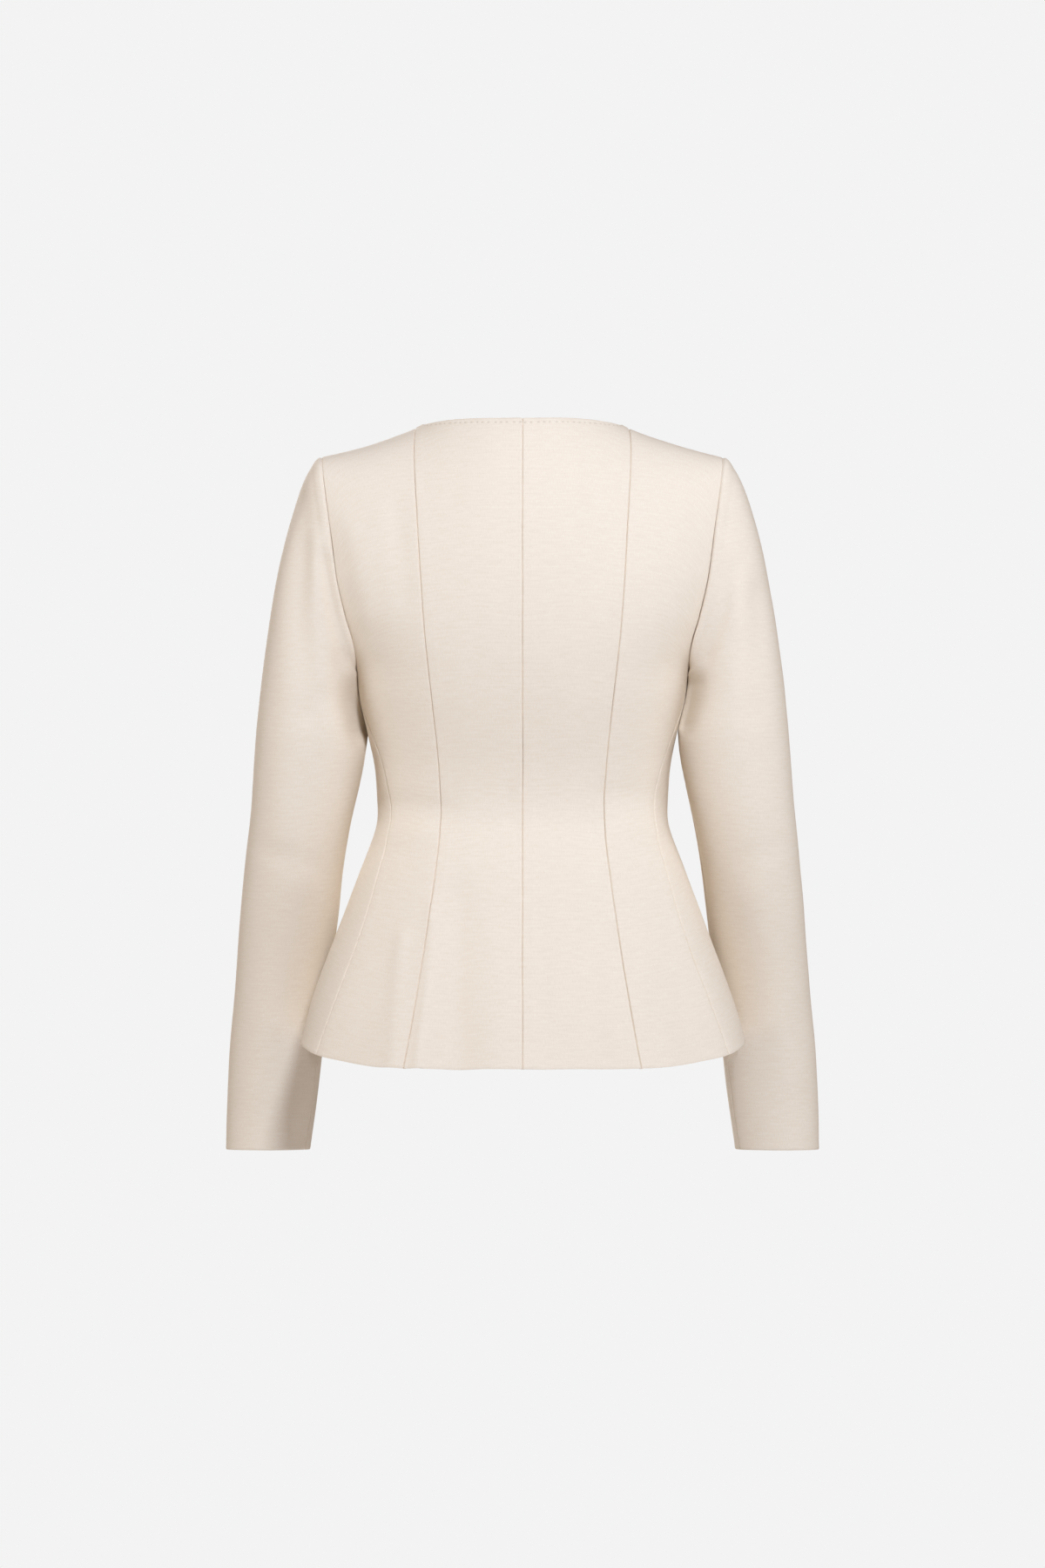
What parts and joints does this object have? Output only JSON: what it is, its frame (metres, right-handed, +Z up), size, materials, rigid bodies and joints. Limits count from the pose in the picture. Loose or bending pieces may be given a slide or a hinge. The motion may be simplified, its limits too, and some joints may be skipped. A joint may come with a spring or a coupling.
{
  "type": "fitted double-breasted jacket",
  "caption": "Hollow fitted jacket without a collar: princess seams, long two-piece sleeves, a flared skirt and a lapped double-breasted front.",
  "frame": {"origin": "midway between the two neck points, on the line of the shoulder seams, where the wearer's shoulders hold the jacket", "axes": "+Z up, the front of the jacket faces -Y, +X towards the wearer's left side"},
  "size_m": [0.5634, 0.3168, 0.682],
  "materials": {
    "wool_crepe": "matte",
    "horn": "satin"
  },
  "bodies": {
    "root": {"back_left": "wool_crepe", "side_back_left": "wool_crepe", "side_front_left": "wool_crepe", "front_left": "wool_crepe", "top_sleeve_left": "wool_crepe", "under_sleeve_left": "wool_crepe", "back_right": "wool_crepe", "side_back_right": "wool_crepe", "side_front_right": "wool_crepe", "front_right": "wool_crepe", "top_sleeve_right": "wool_crepe", "under_sleeve_right": "wool_crepe", "button_left_1": "horn", "button_left_2": "horn", "button_left_3": "horn", "button_right_1": "horn", "button_right_2": "horn", "button_right_3": "horn"}
  },
  "joints": []
}
